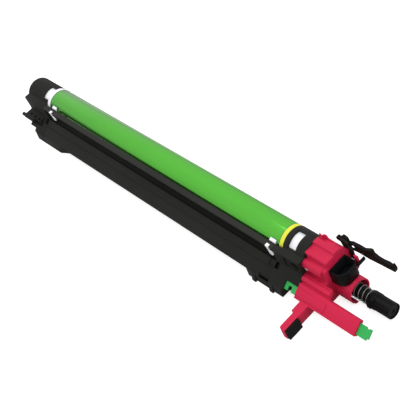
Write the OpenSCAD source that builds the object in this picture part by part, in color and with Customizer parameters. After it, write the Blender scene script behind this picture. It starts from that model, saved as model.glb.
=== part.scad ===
// Drum unit of a large-format page printer.
// X runs along the drum's axis from the rear end of its green coat towards the pull handle,
// Z points up from the feet, and -Y is the side with the sloped panel. Sizes are millimetres.

/* [Drum] */
// Outside diameter of the coated drum
drum_d = 30; // [28:0.5:30.5]
// Length of the green coat
coat_l = 354; // [300:1:380]
// Wall of the aluminium tube
tube_wall = 0.8; // [0.6:0.05:1.2]
// Bore through the drum's flanges for the machine's drum shaft
shaft_bore_d = 8; // [6:0.5:9]
// Width of the yellow rim at the front end
yellow_rim_w = 4; // [3:0.1:5]
// Width of the white rim at the rear end
white_rim_w = 4.4; // [3:0.1:5]
// Diameter of the white front hub
hub_d = 25.2; // [22:0.2:26]
// Diameter of the flange journals that turn in the bearings
journal_d = 16; // [14:0.5:18]

/* [Casing] */
// Wall of the mouldings
wall = 1.5; // [1.2:0.1:1.8]
// Gap between the drum and the casing
drum_gap = 1.2; // [0.8:0.1:1.6]
// Distance of the far wall's outside from the drum's axis
far_y = 19; // [18.5:0.1:20]
// Height of the far wall's rim below the drum's axis
far_drop = 6.8; // [6:0.1:8]
// Depth of the casing's floor below the drum's axis
floor_drop = 31; // [30.9:0.1:31.6]
// Depth of the feet below the drum's axis
foot_drop = 32.4; // [32.2:0.1:34]
// Thickness of the light strip beside the drum
strip_t = 2.5; // [2:0.1:3]
// Width of the light strip beside the drum
strip_w = 5.5; // [4.5:0.1:6]

/* [Charger] */
// Direction of the charger from the drum's axis
charge_a = 216.87; // [215:0.1:218]
// Distance of the panel's lower edge from the drum's axis
panel_r = 42; // [41.6:0.1:43]
// Width of the charger's steel shield
shield_w = 10; // [9.4:0.1:10.2]
// Thickness of the steel shield and the grid
shield_t = 0.5; // [0.4:0.05:0.7]
// Width of the green cleaner bar
bar_w = 10.1; // [9:0.1:10.6]
// Thickness of the green cleaner bar
bar_t = 1.4; // [1.2:0.1:1.8]
// Length of coat that the parked wire cleaner and its stops leave uncleaned
cleaner_rest = 44; // [40:1:60]

/* [Waste toner] */
// Outside diameter of the waste auger's flight
auger_d = 9.8; // [8:0.2:10]
// Pitch of the auger's flight
auger_pitch = 16; // [12:1:24]
// Outside diameter of the waste pipe
pipe_d = 12.2; // [11.8:0.1:12.6]
// Outside diameter of the shutter sleeve
sleeve_d = 14.4; // [14:0.1:15]
// Travel of the shutter sleeve
shutter_travel = 9; // [6:0.5:10]

/* [Front end] */
// Length of the red front cover along the drum's axis
cover_l = 23.5; // [22:0.5:25]
// Outside radius of the red cover's arch
cover_r = 16.5; // [16.2:0.1:17]
// Distance from the green coat to the end of the guide sleeve
guide_reach = 95.5; // [90:0.5:100]
// Distance from the drum's axis to the tip of the handle
handle_reach = 65; // [55:1:70]
// Width of the handle
handle_w = 6.3; // [5:0.1:8]
// Length of the lever's arm
lever_l = 54; // [52:0.5:57]

/* [Hidden] */
$fn = 48;
eps = 0.01;
// Radial clearance of a turning fit
run_fit = 0.05;
// Gap between pieces that slide or turn past each other
slide_gap = 0.4;
// Gap between a soft edge and the drum
soft_gap = 0.3;

drum_r = drum_d / 2;
tube_r = drum_r - tube_wall;
shaft_r = shaft_bore_d / 2;
journal_r = journal_d / 2;
hub_r = hub_d / 2;
cavity_r = drum_r + drum_gap;
cap_r = drum_r + 0.2;

// Stations along X
casing_x0 = -5;
casing_x1 = coat_l - 3;
rear_x0 = -42;
dome_l = 3.5;
ledge_x1 = -24;
gear_x0 = -34;
gear_x1 = -27;
front_ring_x0 = coat_l + yellow_rim_w + slide_gap;
front_ring_x1 = coat_l + 9;
window_x1 = coat_l + 19;
cover_x0 = coat_l + 28.5;
cover_x1 = cover_x0 + cover_l;
collar_x1 = cover_x1 + 18;
guide_x1 = coat_l + guide_reach;

// Section of the casing: r is measured along the charger's direction, o across it
panel_o = 4.8;
panel_r0 = 21.4;
lip_o = panel_o - wall;
chamber_o = -8.9;
chamber_r = panel_r - 11;
strip_y = -20;
strip_z = 8;
charge_u = [cos(charge_a), sin(charge_a)];
charge_v = [sin(charge_a), -cos(charge_a)];
function at(r, o) = r * charge_u + o * charge_v;
panel_y = at(panel_r, panel_o)[0];
floor_y0 = at(panel_r, chamber_o + 5.7)[0] + 3.7;
foot_y = panel_y - 1;

// Waste auger and its trough
auger_pos = [1.2, -23];
auger_r = auger_d / 2;
auger_core_r = 2.2;
trough_r = auger_r + 0.7;
film_a = 69;
film_t = 0.25;
pipe_r = pipe_d / 2;
pipe_in_r = auger_r + slide_gap;
sleeve_r = sleeve_d / 2;
collar_r = 11.7;
shutter_x0 = coat_l + 83;
shutter_x1 = coat_l + 106;
pipe_x1 = shutter_x1 - 1;
pipe_rim_t = 0.8;
spout_x0 = shutter_x0 + 7;

// Gear train between the drum and the auger
gear_m = 0.8;
drum_teeth = 30;
small_teeth = 15;
backlash = 0.12;
drum_gear_r = gear_m * drum_teeth / 2;
small_gear_r = gear_m * small_teeth / 2;
auger_dist = norm(auger_pos);
auger_a = atan2(auger_pos[1], auger_pos[0]);
idler_dist = drum_gear_r + small_gear_r;
idler_swing = acos((idler_dist ^ 2 + auger_dist ^ 2 - (2 * small_gear_r) ^ 2)
    / (2 * idler_dist * auger_dist));
idler_a = auger_a + idler_swing;
idler_pos = idler_dist * [cos(idler_a), sin(idler_a)];
idler_pin_r = 1.5;
idler_to_auger = auger_pos - idler_pos;
idler_auger_a = atan2(idler_to_auger[1], idler_to_auger[0]);

// Charger, cleaner bar and guide
cleaner_travel = coat_l - cleaner_rest;
bar_o1 = panel_o - wall - 0.2;
bar_o0 = bar_o1 - bar_t;
bar_r1 = panel_r - wall - 1.1;
bar_r0 = bar_r1 - bar_w;
shield_o1 = lip_o - wall - 0.1;
shield_o0 = shield_o1 - shield_w;
shield_r0 = drum_r + 1.9;
shield_r1 = bar_r0 - slide_gap;
grid_r = drum_r + 1.4;
wire_r = (shield_r0 + shield_r1) / 2;
wire_o = (shield_o0 + shield_o1) / 2;
bar_x1 = coat_l + 107.5;
carriage_x0 = 12;
carriage_l = 9;
arm_o1 = shield_o1 - shield_t - slide_gap - 0.2;
arm_o0 = arm_o1 - 1.2;
arm_hook = 1.8;
guide_r0 = bar_r0 - 2.4;
guide_r1 = bar_r1 + 1.6;
guide_o1 = 5.4;
guide_o0 = bar_o0 - slide_gap - 0.7;

// Extrudes a section drawn as [y, z] from x0 to x1
module along(x0, x1) translate([x0, 0, 0]) rotate([90, 0, 90]) linear_extrude(x1 - x0) children();

// Round bar along X, on the drum's axis or at pos
module round_bar(x0, x1, r, pos = [0, 0])
    translate([x0, pos[0], pos[1]]) rotate([0, 90, 0]) cylinder(h = x1 - x0, r = r);

// Extrudes an outline drawn as [x, z] from y0 to y1
module across(y0, y1) translate([0, y1, 0]) rotate([90, 0, 0]) linear_extrude(y1 - y0) children();

// Rectangle given in the charger's own directions
module charger_box(r0, r1, o0, o1) polygon([at(r0, o0), at(r1, o0), at(r1, o1), at(r0, o1)]);

// Gear outline with straight-flanked teeth, one of them at angle phase
module gear_outline(teeth, phase) {
    pitch_r = gear_m * teeth / 2;
    root_r = pitch_r - 1.2 * gear_m;
    tip_r = pitch_r + 0.9 * gear_m;
    half = 90 / teeth - backlash / pitch_r * 28.65;
    polygon([for (i = [0 : teeth - 1]) let (a = phase + i * 360 / teeth) each [
        root_r * [cos(a - half * 1.6), sin(a - half * 1.6)],
        pitch_r * [cos(a - half), sin(a - half)],
        tip_r * [cos(a - half * 0.45), sin(a - half * 0.45)],
        tip_r * [cos(a + half * 0.45), sin(a + half * 0.45)],
        pitch_r * [cos(a + half), sin(a + half)],
        root_r * [cos(a + half * 1.6), sin(a + half * 1.6)]
    ]]);
}

// Outline of the casing below the drum, out to r1 along the sloped panel
module lower_outline(r1 = panel_r) polygon([
    at(panel_r0, panel_o), at(r1, panel_o), at(r1, chamber_o + 5.7), [floor_y0, -floor_drop],
    [far_y - 4, -floor_drop], [far_y, 4 - floor_drop], [far_y, -far_drop]
]);

// Lip over the charger's side, a wall's depth below the panel and up to the drum
module charger_lip() charger_box(drum_r, panel_r0 + eps, chamber_o, lip_o);

// Room for the charger and the cleaner bar behind the panel
module charger_chamber() polygon([
    at(8, chamber_o), at(chamber_r, chamber_o), at(chamber_r + 5.5, chamber_o + 5.5),
    at(panel_r - wall, chamber_o + 7), at(panel_r - wall, panel_o - wall),
    at(panel_r0 + wall, panel_o - wall), at(panel_r0 + wall, lip_o - wall), at(8, lip_o - wall)
]);

// Slot in the upper edge of the panel beside each end of the casing, down to o
module corner_slot(x0, x1, o)
    along(x0, x1) charger_box(panel_r0 + 0.6, panel_r0 + 6.6, o, panel_o + wall);

// Room between the drum and the far wall for the cleaning blade
module blade_space() polygon([
    auger_pos + 14 * [cos(film_a), sin(film_a)], [far_y - wall, -5], [far_y - wall, blade_floor],
    [9.6, blade_floor], [auger_pos[0] + trough_r, auger_pos[1] + 2.5],
    [auger_pos[0] + trough_r, auger_pos[1]], auger_pos
]);

module trough() translate(auger_pos) circle(trough_r);

module drum_tube() color([0.36, 0.70, 0.26])
    difference() {
        round_bar(0, coat_l, drum_r);
        round_bar(-eps, coat_l + eps, tube_r);
    }

module front_flange() color([0.93, 0.93, 0.30])
    difference() {
        union() {
            round_bar(coat_l, coat_l + yellow_rim_w, drum_r);
            round_bar(coat_l - 12, coat_l + eps, tube_r - run_fit);
        }
        round_bar(coat_l - 13, coat_l + yellow_rim_w + 1, shaft_r);
        round_bar(coat_l - 13, coat_l - 2, tube_r - 2.5);
    }

module front_hub() color("white")
    difference() {
        union() {
            round_bar(coat_l + yellow_rim_w, front_ring_x1, hub_r - 1.2);
            round_bar(front_ring_x1, window_x1 - 0.6, hub_r);
            round_bar(window_x1 - 1, window_x1 + 9, journal_r);
        }
        round_bar(coat_l, window_x1 + 10, shaft_r);
    }

module rear_flange() color("white")
    difference() {
        union() {
            round_bar(-white_rim_w, 0, drum_r + 0.3);
            round_bar(-eps, 12, tube_r - run_fit);
            round_bar(gear_x1, -white_rim_w + eps, drum_r - 1.4);
            along(gear_x0, gear_x1) gear_outline(drum_teeth, 0);
            round_bar(rear_x0 + 0.5, gear_x0 + eps, journal_r);
        }
        round_bar(rear_x0 - 1, 13, shaft_r);
        round_bar(2, 13, tube_r - 2.5);
    }

module bearing(x0, x1)
    difference() {
        round_bar(x0, x1, journal_r + 3);
        round_bar(x0 - 1, x1 + 1, journal_r + run_fit);
    }

module front_bearing() color([0.85, 0.84, 0.78]) bearing(window_x1 + 1.5, window_x1 + 8.5);

module rear_bearing() color([0.85, 0.84, 0.78]) bearing(rear_x0 + 0.5, gear_x0 - 1);

module casing() color([0.16, 0.16, 0.16])
    difference() {
        union() {
            along(casing_x0, casing_x1)
                difference() {
                    union() {
                        lower_outline();
                        charger_lip();
                    }
                    circle(cavity_r);
                    charger_chamber();
                    charger_box(drum_r, panel_r0, lip_o, panel_o + 5);
                    blade_space();
                    trough();
                }
            rear_foot();
            front_foot();
            far_foot(casing_x0);
            far_foot(casing_x1 - 24);
        }
        panel_marks();
        floor_pockets();
        corner_slot(casing_x1 - 6.5, casing_x1 + 1, panel_o - wall + 0.4);
    }

// Foot under the rear end of the panel's lower edge, its front corner cut off at an angle
module rear_foot() {
    foot_x1 = 35;
    difference() {
        along(casing_x0, foot_x1) foot_outline(foot_y);
        translate([foot_x1 - 12.4, foot_y, -foot_drop - 1]) rotate([0, 0, 24.3]) translate([0, -15, 0])
            cube([30, 15, 15]);
    }
}

// Foot under the front half of the panel's lower edge, with two stops on its edge
module front_foot() {
    along(coat_l - 31, casing_x1) foot_outline(foot_y + 0.6);
    along(coat_l - 24.2, coat_l - 19.9) foot_outline(foot_y - 1.5);
}

// Low rib under the far edge of the floor
module far_foot(x) along(x, x + 24) translate([9, -foot_drop]) square([4, foot_drop - floor_drop + eps]);

// Section of a foot whose outer side stands at y
module foot_outline(y) polygon([
    at(panel_r, panel_o - 0.2), at(panel_r - 1, panel_o - 0.2), at(panel_r - 1.5, chamber_o + 5.7),
    [floor_y0, -floor_drop], [floor_y0, -foot_drop], [y, -foot_drop], [y, -foot_drop + 1.6]
]);

// Groove along the panel and the pocket near its front end
module panel_marks() {
    along(casing_x0 - 1, casing_x1 + 1) charger_box(bar_r0 + 0.2, bar_r0 + 0.8, panel_o - 0.4, panel_o + 1);
    along(coat_l - 15, coat_l - 1) charger_box(bar_r1 - 0.8, panel_r + 1, panel_o - 1, panel_o + 1);
    along(coat_l - 15, coat_l - 1) charger_box(panel_r - wall - 0.2, panel_r + 1, panel_o - 7, panel_o + 1);
}

// Cored-out pockets under the floor, between cross ribs
module floor_pockets() {
    count = 8;
    pitch = (casing_x1 - casing_x0 - wall) / count;
    for (i = [0 : count - 1])
        along(casing_x0 + wall + i * pitch, casing_x0 + (i + 1) * pitch)
            polygon([
                [floor_y0 + 3.5, -floor_drop - 2], [-6.6, -floor_drop - 2], [-6.6, -20.4], [-9.4, -20.4],
                at(chamber_r, chamber_o - wall), [floor_y0 + 3.5, -floor_drop + 2.8]
            ]);
}

module light_strip() color([0.22, 0.22, 0.22])
    along(casing_x0, casing_x1)
        translate([strip_y, strip_z - strip_t]) square([strip_w, strip_t]);

// Outline of the housings at the two ends, up to the level of the light strip
module upper_box() polygon([
    [strip_y, strip_z], [12, strip_z], [far_y, -far_drop], [far_y, -20],
    [-10, -20], at(panel_r0, panel_o)
]);

module rear_housing() color([0.17, 0.17, 0.17]) {
    difference() {
        union() {
            along(rear_x0, casing_x0) upper_box();
            along(rear_x0, casing_x0) lower_outline(panel_r - 12);
            along(rear_x0 + 8.8, casing_x0) lower_outline(panel_r - 4);
            along(rear_x0 + 19.3, casing_x0) lower_outline();
            along(rear_x0 + 20.5, casing_x0) foot_outline(foot_y);
            along(rear_x0, ledge_x1) rear_ledge(ledge_y0);
            along(rear_x0, ledge_x1 + 10) rear_ledge(ledge_y0 + 3.5);
            round_bar(rear_x0, casing_x0, cap_r);
            translate([rear_x0, 0, 0]) rotate([0, 90, 0]) rear_dome();
            round_bar(rear_x0 - pin_l, rear_x0 + 0.5, locating_r, locating_pos);
        }
        round_bar(gear_x0 - 1, casing_x0 + 1, drum_r - 0.9);
        round_bar(rear_x0 + 0.5, gear_x0, journal_r + 3);
        round_bar(rear_x0 - dome_l - 1, rear_x0 + 1, journal_r - 0.5);
        round_bar(gear_x0 - 1, gear_x1 + 1, small_gear_r + 1.4, idler_pos);
        round_bar(gear_x0 - 1, gear_x1 + 1, small_gear_r + 1.4, auger_pos);
        round_bar(gear_x1, casing_x0 + 1, trough_r, auger_pos);
        round_bar(rear_x0 + 2, gear_x0, auger_core_r + run_fit, auger_pos);
        along(casing_x0 - 3, casing_x0 + 1) blade_space();
        corner_slot(casing_x0 - 4.5, casing_x0 + 1, panel_o - 4);
        rear_window();
        rear_comb();
    }
    round_bar(gear_x0 - 1 - eps, gear_x1 + 1 + eps, idler_pin_r, idler_pos);
}

// Closed rear end of the arch over the drum gear, with a rounded edge
module rear_dome()
    rotate_extrude() {
        translate([0, -dome_l]) square([cap_r - dome_l, dome_l + eps]);
        intersection() {
            translate([cap_r - dome_l, 0]) circle(dome_l);
            translate([0, -dome_l]) square([cap_r, dome_l + eps]);
        }
    }

// Window in the rear arch, where the white flange shows
module rear_window() translate([casing_x0 - 8.5, -10, 9]) cube([9, 14.6, 9]);

// Stepped ledge at the rear corner, out to y, and the locating pin on it
ledge_y0 = strip_y - 12;
ledge_z = -9.5;
locating_r = 2;
locating_pos = [ledge_y0 + 2.4, ledge_z - locating_r - 0.1];
pin_l = 5.2;

module rear_ledge(y) polygon([
    [strip_y, ledge_z], [y + 0.2, ledge_z], [y, ledge_z - 3], [y + 2.5, ledge_z - 8.5], [strip_y, -20]
]);

// Pockets between the ribs of the ledge, and the slot in the panel beside it
module rear_comb() {
    for (i = [0 : 2])
        along(rear_x0 + 6.5 + i * 8.2, rear_x0 + 9.5 + i * 8.2)
            translate([ledge_y0 + 4.8, ledge_z - 3]) square([3, 4]);
    along(-21.5, -11.5) charger_box(30, 33, panel_o - 1.1, panel_o + 1);
}

module front_housing() color([0.17, 0.17, 0.17])
    difference() {
        union() {
            along(casing_x1, cover_x0) upper_box();
            along(casing_x1, cover_x0) lower_outline(panel_r - 10.6);
            along(casing_x1, coat_l + 14) lower_outline();
            along(casing_x1, coat_l + 12) foot_outline(foot_y + 0.6);
            along(coat_l - 2.4, coat_l + 2) foot_outline(foot_y - 1.3);
            round_bar(front_ring_x0, cover_x0, cap_r);
        }
        round_bar(casing_x1 - 1, front_ring_x0, cavity_r);
        round_bar(casing_x1, front_ring_x1 + eps, hub_r - 0.6);
        round_bar(front_ring_x1, window_x1, hub_r + 0.6);
        round_bar(window_x1 - 1, cover_x0 + 1, journal_r + 3);
        front_window();
        along(casing_x1 - 1, coat_l + 6) blade_space();
        bar_slot(casing_x1 - 1, cover_x0 + 1);
        round_bar(casing_x1 - 1, cover_x0 + 1, trough_r, auger_pos);
        side_recess();
        corner_slot(casing_x1 - 1, coat_l + 2, panel_o - 4);
    }

// Stepped recess in the housing's side, with a round hole in it
module side_recess() {
    translate([coat_l + 9, strip_y - 1, -7]) cube([cover_x0 - coat_l - 10.2, 2.2, 12.2]);
    translate([coat_l + 20.7, strip_y - 1, -1.6]) rotate([-90, 0, 0]) cylinder(h = 5, r = 4.6);
}

// Window in the front arch, where the white hub shows
module front_window()
    translate([front_ring_x1, strip_y - 1, strip_z]) cube([window_x1 - front_ring_x1 - 0.5, 26.2, 12]);

// Passage for the cleaner bar
module bar_slot(x0, x1)
    along(x0, x1) charger_box(bar_r0 - slide_gap, bar_r1 + slide_gap, bar_o0 - slide_gap, bar_o1 + slide_gap);

// Steel trough round the wire, with a slot in its back for the cleaner's arm
module charger_shield() color([0.62, 0.62, 0.60])
    difference() {
        along(casing_x0 + 9, casing_x1 - 6) charger_box(shield_r0, shield_r1, shield_o0, shield_o1);
        along(casing_x0 + 8, casing_x1)
            charger_box(shield_r0 - 1, shield_r1 - shield_t, shield_o0 + shield_t, shield_o1 - shield_t);
        along(carriage_x0 - 2, carriage_x0 + carriage_l + cleaner_travel + 2)
            charger_box(shield_r1 - 2, shield_r1 + 1, arm_o0 - slide_gap, arm_o1 + slide_gap);
    }

module charger_grid() color([0.66, 0.66, 0.64])
    difference() {
        along(casing_x0 + 6, casing_x1 - 3)
            charger_box(grid_r, grid_r + shield_t, shield_o0 + 0.8, shield_o1 - 0.8);
        for (x = [12 : 8 : casing_x1 - 20], o = [shield_o0 + 1.6, wire_o + 0.4])
            along(x, x + 6.6) charger_box(grid_r - 1, grid_r + 1, o, o + shield_w / 2 - 2);
    }

module charger_wire() color([0.55, 0.55, 0.55])
    let (p = at(wire_r, wire_o)) round_bar(casing_x0 + 3, casing_x1 - 1, 0.15, p);

module charger_ends() color([0.9, 0.9, 0.88]) {
    charger_end(casing_x0 + eps, casing_x0 + 9);
    charger_end(casing_x1 - 6, casing_x1 - eps);
}

// Insulating block that carries the wire and the shield
module charger_end(x0, x1)
    difference() {
        along(x0, x1) charger_box(shield_r0, shield_r1, shield_o0, shield_o1);
        let (p = at(wire_r, wire_o)) round_bar(x0 - 1, x1 + 1, 0.15, p);
    }

module cleaner_bar() color([0.20, 0.68, 0.32])
    difference() {
        union() {
            along(carriage_x0, bar_x1 - 7) charger_box(bar_r0, bar_r1, bar_o0, bar_o1);
            bar_tab();
        }
        along(coat_l + 17.8, coat_l + 21.6) charger_box(bar_r0 + 5.4, bar_r1 + 1, bar_o0 - 1, bar_o1 + 1);
        bar_hole();
    }

// Rounded pull tab with a hook on its inner corner
module bar_tab() {
    along(bar_x1 - 7.5, bar_x1 - 5) charger_box(bar_r0, bar_r1, bar_o0, bar_o1);
    along(bar_x1 - 5.5, bar_x1 - 2) charger_box(bar_r0 + 0.9, bar_r1, bar_o0, bar_o1);
    along(bar_x1 - 2.5, bar_x1) charger_box(bar_r0, bar_r1 - 1.8, bar_o0, bar_o1);
}

module bar_hole() {
    p = at((bar_r0 + bar_r1) / 2, 0);
    translate([bar_x1 - 3.6, p[0], p[1]])
        rotate([charge_a - 90, 0, 0]) translate([0, 0, -5]) cylinder(h = 10, r = 0.9);
}

module cleaner_carriage() color([0.88, 0.88, 0.86])
    difference() {
        union() {
            along(carriage_x0, carriage_x0 + carriage_l) charger_box(
                wire_r - 2.4, shield_r1 - shield_t - slide_gap,
                shield_o0 + shield_t + slide_gap, shield_o1 - shield_t - slide_gap
            );
            along(carriage_x0, carriage_x0 + carriage_l) {
                charger_box(shield_r1 - 2, bar_r0 + arm_hook, arm_o0, arm_o1);
                charger_box(bar_r0, bar_r0 + arm_hook, arm_o0, bar_o0);
            }
        }
        along(carriage_x0 - 1, carriage_x0 + carriage_l + 1)
            charger_box(wire_r - 3, wire_r + 0.5, wire_o - 0.5, wire_o + 0.5);
    }

// Cleaning blade: its edge meets the drum at blade_a, and it stands along blade_d
blade_a = -38;
blade_t = 2;
blade_l = 11;
blade_edge = (drum_r + soft_gap) * [cos(blade_a), sin(blade_a)];
blade_lean = 7;
bracket_t = 1.2;
blade_floor = -24.9;
bracket_w = 11;
blade_screw_y = 12.6;

module blade_frame() translate(blade_edge) rotate(blade_lean) children();

module cleaning_blade() color([0.80, 0.62, 0.35])
    along(3, casing_x1 - 6) blade_frame() translate([0, -blade_l]) square([blade_t, blade_l]);

module blade_bracket() color([0.70, 0.71, 0.70])
    difference() {
        along(casing_x0 + 2, casing_x1 - 3) {
            blade_frame() translate([blade_t, 4.6 - blade_l - bracket_w + 1.8]) square([bracket_t, bracket_w]);
            translate([10, blade_floor]) square([far_y - wall - 10.2, bracket_t]);
        }
        for (x = blade_screw_x) translate([x, blade_screw_y, blade_floor - 1]) cylinder(h = 5, r = 1.6);
    }

blade_screw_x = [casing_x0 + 12, coat_l / 3, coat_l * 2 / 3, casing_x1 - 14];

module blade_screws() color([0.75, 0.75, 0.75])
    for (x = blade_screw_x) translate([x, blade_screw_y, blade_floor]) {
        translate([0, 0, bracket_t]) cylinder(h = 1.4, r = 2.2);
        cylinder(h = bracket_t + eps, r = 1.5);
    }

// Thin film on the slanted wall above the trough, its edge near the drum
module recovery_film() color([0.85, 0.87, 0.88])
    along(3, casing_x1 - 6) translate(auger_pos) rotate(film_a) translate([5.4, -film_t - 0.02]) square([3.4, film_t]);

module auger() color([0.25, 0.25, 0.25]) {
    round_bar(rear_x0 + 2.5, pipe_x1 - 6, auger_core_r, auger_pos);
    translate([0, auger_pos[0], auger_pos[1]]) auger_flight(gear_x1 + 3, pipe_x1 - 8);
}

// Right-handed helical flight, swept as one closed ribbon
module auger_flight(x0, x1) {
    seg = 12;
    n = floor((x1 - x0) / auger_pitch * seg);
    half_t = 0.7;
    rings = [for (i = [0 : n]) let (a = i * 360 / seg, x = x0 + i * auger_pitch / seg) each [
        [x - half_t, (auger_core_r - 0.5) * cos(a), (auger_core_r - 0.5) * sin(a)],
        [x - half_t, auger_r * cos(a), auger_r * sin(a)],
        [x + half_t, auger_r * cos(a), auger_r * sin(a)],
        [x + half_t, (auger_core_r - 0.5) * cos(a), (auger_core_r - 0.5) * sin(a)]
    ]];
    sides = [for (i = [0 : n - 1], k = [0 : 3]) let (j = (k + 1) % 4) each [
        [4 * i + k, 4 * i + j, 4 * (i + 1) + j],
        [4 * i + k, 4 * (i + 1) + j, 4 * (i + 1) + k]
    ]];
    polyhedron(rings, concat(sides, [[0, 3, 2, 1], [4 * n, 4 * n + 1, 4 * n + 2, 4 * n + 3]]));
}

module auger_gear() color([0.9, 0.9, 0.88])
    difference() {
        along(gear_x0 + 0.5, gear_x1 - 0.5)
            translate(auger_pos) gear_outline(small_teeth, auger_phase);
        round_bar(gear_x0, gear_x1, auger_core_r, auger_pos);
    }

// A tooth of one gear stands against a gap of the next
idler_phase = idler_a + 180 - 180 / small_teeth + idler_a * drum_teeth / small_teeth;
auger_phase = idler_auger_a + 180 - 180 / small_teeth - (idler_phase - idler_auger_a);

module idler_gear() color([0.9, 0.9, 0.88])
    difference() {
        along(gear_x0 + 0.5, gear_x1 - 0.5)
            translate(idler_pos) gear_outline(small_teeth, idler_phase);
        round_bar(gear_x0, gear_x1, idler_pin_r + run_fit, idler_pos);
    }

// Pipe that the auger ends in: its outlet is under the tip, and its rim stops the sleeve
module waste_pipe() color([0.16, 0.16, 0.16])
    difference() {
        union() {
            round_bar(cover_x0, pipe_x1, pipe_r, auger_pos);
            round_bar(cover_x0, cover_x0 + 3, pipe_r + 2.5, auger_pos);
            round_bar(pipe_x1 - pipe_rim_t, pipe_x1, pipe_r + 0.5, auger_pos);
        }
        round_bar(cover_x0 - 1, pipe_x1 - 2, pipe_in_r, auger_pos);
        translate([shutter_x1 - shutter_travel + slide_gap, auger_pos[0] - 4, auger_pos[1] - 9])
            cube([shutter_travel - slide_gap - 3.4, 8, 9]);
        round_bar(pipe_x1 - 0.6, pipe_x1 + 1, 1.8, auger_pos);
    }

// Sleeve that covers the outlet until it is pushed back
module shutter_sleeve() color([0.14, 0.14, 0.14])
    difference() {
        union() {
            round_bar(shutter_x0, shutter_x1, sleeve_r, auger_pos);
            round_bar(shutter_x0, spout_x0, sleeve_r + 0.4, auger_pos);
            translate([shutter_x0 + 3, auger_pos[0] - 5.2, auger_pos[1] + 4.6]) cube([4, 3, 3]);
            translate([shutter_x0 + 1.5, auger_pos[0] - sleeve_r - 1.3, auger_pos[1] - 1.2]) cube([3.5, 3, 2.4]);
        }
        round_bar(shutter_x0 - 1, shutter_x1 + 1, pipe_r + slide_gap / 2, auger_pos);
        round_bar(pipe_x1 - pipe_rim_t - 0.2, shutter_x1 + 1, pipe_r + 0.65, auger_pos);
        for (a = [35, 80, 125, 170])
            translate([shutter_x0 - 1, auger_pos[0], auger_pos[1]]) rotate([a, 0, 0])
                translate([0, -0.5, sleeve_r - 0.4]) cube([18, 1, 2]);
    }

// Compression spring between the collar and the sleeve
module shutter_spring() color([0.82, 0.82, 0.80]) {
    wire = 0.35;
    coil_r = pipe_r + wire + 0.25;
    x0 = cover_x1 + 6 + wire;
    x1 = shutter_x0 - wire - 0.05;
    turns = 7;
    seg = 16;
    sides_n = 6;
    n = turns * seg;
    rings = [for (i = [0 : n]) let (a = i * 360 / seg, x = x0 + (x1 - x0) * i / n)
        for (k = [0 : sides_n - 1]) let (b = k * 360 / sides_n, r = coil_r + wire * cos(b))
            [x + wire * sin(b), auger_pos[0] + r * cos(a), auger_pos[1] + r * sin(a)]];
    sides = [for (i = [0 : n - 1], k = [0 : sides_n - 1]) let (j = (k + 1) % sides_n) each [
        [sides_n * i + k, sides_n * (i + 1) + j, sides_n * i + j],
        [sides_n * i + k, sides_n * (i + 1) + k, sides_n * (i + 1) + j]
    ]];
    first = [for (k = [0 : sides_n - 1]) k];
    last = [for (k = [sides_n - 1 : -1 : 0]) sides_n * n + k];
    polyhedron(rings, concat(sides, [first, last]));
}

module front_cover() color([0.86, 0.15, 0.33])
    difference() {
        union() {
            cover_block();
            along(cover_x0, guide_x1) charger_box(guide_r0, guide_r1, guide_o0, guide_o1);
            along(cover_x0, coat_l + 61) charger_box(guide_r0 + 4, guide_r1 - 2.8, guide_o1 - eps, guide_o1 + 0.8);
            along(cover_x0, coat_l + 60) side_strip();
            handle();
            pipe_collar();
            rim_hooks();
            far_guard();
            translate(screw_pos + [0, 3.9, 0]) rotate([90, 0, 0]) cylinder(h = 4.6, r = screw_r + 0.7);
        }
        bar_slot(cover_x0 - 1, guide_x1 + 1);
        translate(screw_pos) rotate([90, 0, 0]) cylinder(h = 5, r = screw_r + run_fit);
        round_bar(cover_x0 - 1, cover_x1 + 6, pipe_r + slide_gap, auger_pos);
        round_bar(cover_x0 - 1, cover_x0 + 3.2, pipe_r + 2.7, auger_pos);
        round_bar(cover_x1 + 6 - eps, collar_x1 + 1, collar_r - 1.3, auger_pos);
        round_bar(cover_x0 - 1, cover_x0 + 12, journal_r + 3);
    }

// Ribbed strip beside the guide's upper edge, with a groove between the two
module side_strip() {
    translate(at(guide_r0, guide_o1)) polygon([
        [7.9, 4.5], [6.9, 4.5], [6.9, 3.2], [5.8, 3.2], [5.4, 3.9], [2.4, 2.3], [2.4, -2.4], [4.7, -2.4], [7.9, 0.8]
    ]);
    charger_box(guide_r0 - 2.8, guide_r0 + eps, guide_o0, guide_o1 - 1.9);
}

// Main block of the cover: a stepped arch over the drum's axis, a bulge beside it and the body below
module cover_block()
    difference() {
        union() {
            along(cover_x0, cover_x1) intersection() {
                circle(cover_r);
                polygon([[-9.5, 0], [-9.5, 12.4], [-8.6, 13.3], [0.4, 13.3], [1.6, 15.4], [20, 15.4], [20, 0]]);
            }
            along(cover_x0, cover_x1 - 3) polygon([
                [-9, 6.8], [-13.8, 6.8], [-15.6, 5.6], [-16.5, 3.2], [-16.7, 1.2], [-14, 0.4], [-9, 0.4]
            ]);
            along(cover_x0, cover_x1) polygon([
                [-9.5, 6.6], [-13.6, 5.8], [-13.6, -8], [-17, -8], [-20, -14], at(guide_r0 + 1, guide_o0),
                at(guide_r0 + 6, guide_o0), [-20, -foot_drop], [11, -foot_drop], [cover_r, -20], [cover_r, 4]
            ]);
        }
        translate([cover_x0 + 1, 7.4, 12.5]) cube([6, 1.6, 6]);
        translate([cover_x0 - 1, -10.6, 6.2]) cube([2.2, 2.4, 6]);
    }

// Upstanding rim on the far side of the arch, with two hooks on it
module rim_hooks()
    across(11.3, 12.6) translate([cover_x0, 0]) polygon([
        [-2.5, 10.6], [-2.5, 13.4], [-0.5, 11.8], [3, 15.5], [6, 16.4], [7.5, 13.2], [16, 12.2], [16, 9], [0, 9], [0, 10.6]
    ]);

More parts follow.
